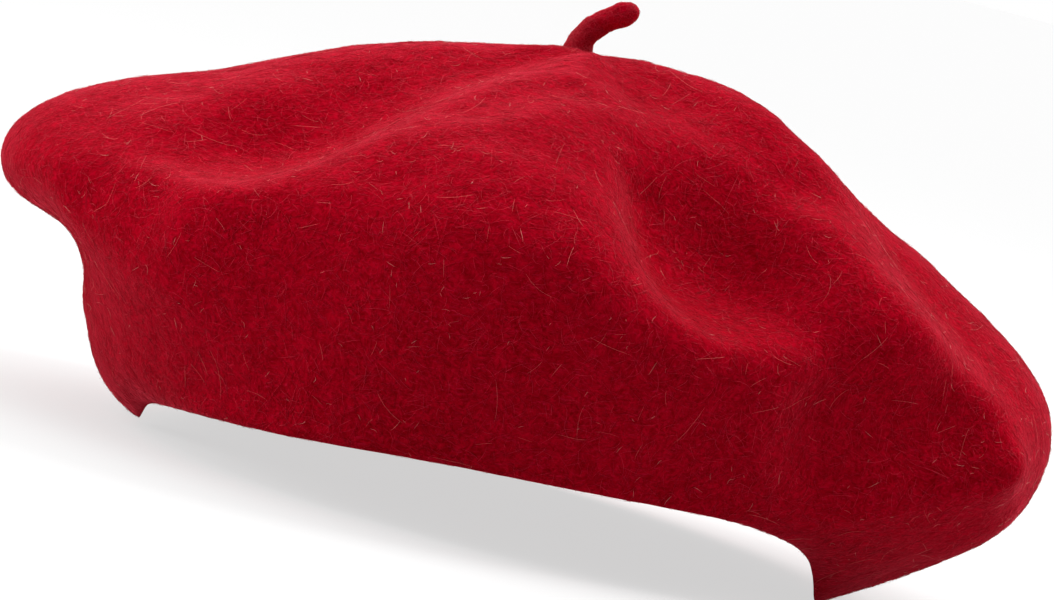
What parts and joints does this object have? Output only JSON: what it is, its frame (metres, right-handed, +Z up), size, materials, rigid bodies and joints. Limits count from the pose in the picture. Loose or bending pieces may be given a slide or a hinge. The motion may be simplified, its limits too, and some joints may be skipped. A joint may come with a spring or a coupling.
{
  "type": "beret",
  "caption": "Soft felted wool beret in its worn, slouched shape, with a bending felt stalk, a ribbon sweatband and sewn-in blank labels.",
  "frame": {"origin": "centre of the head opening, on the plane that the rim rests on", "axes": "+Z up out of the crown, +Y towards the back of the head, +X towards the wearer's left ear, the side that the crown slouches to"},
  "size_m": [0.2623, 0.2385, 0.1278],
  "materials": {
    "felt": "brushed felt, long soft fibres",
    "stalk_felt": "rolled felt",
    "ribbon": "ribbed grosgrain",
    "satin": "woven satin, blank",
    "red_cotton": "sewing thread",
    "cream_cotton": "sewing thread"
  },
  "bodies": {
    "hat": {"crown_felt": "felt", "stalk_tack": "red_cotton", "sweatband": "ribbon", "sweatband_seam": "red_cotton", "maker_label": "satin", "maker_label_stitch_left": "cream_cotton", "maker_label_stitch_right": "cream_cotton"},
    "stalk": {"stalk": "stalk_felt"},
    "care_label": {"care_label": "satin", "care_label_stitch": "cream_cotton"}
  },
  "joints": [
    {"name": "stalk_bend", "type": "hinge", "parent": "hat", "child": "stalk", "pos_m": [-0.0048, 0.006, 0.116], "axis": [0, 1, 0], "range_deg": [-75, 25], "stiffness_Nm_per_rad": 0.003},
    {"name": "care_label_flip", "type": "hinge", "parent": "hat", "child": "care_label", "pos_m": [-0.06677, 0.10685, 0.05], "axis": [-0.848, -0.5299, 0], "range_deg": [0, 95]}
  ]
}
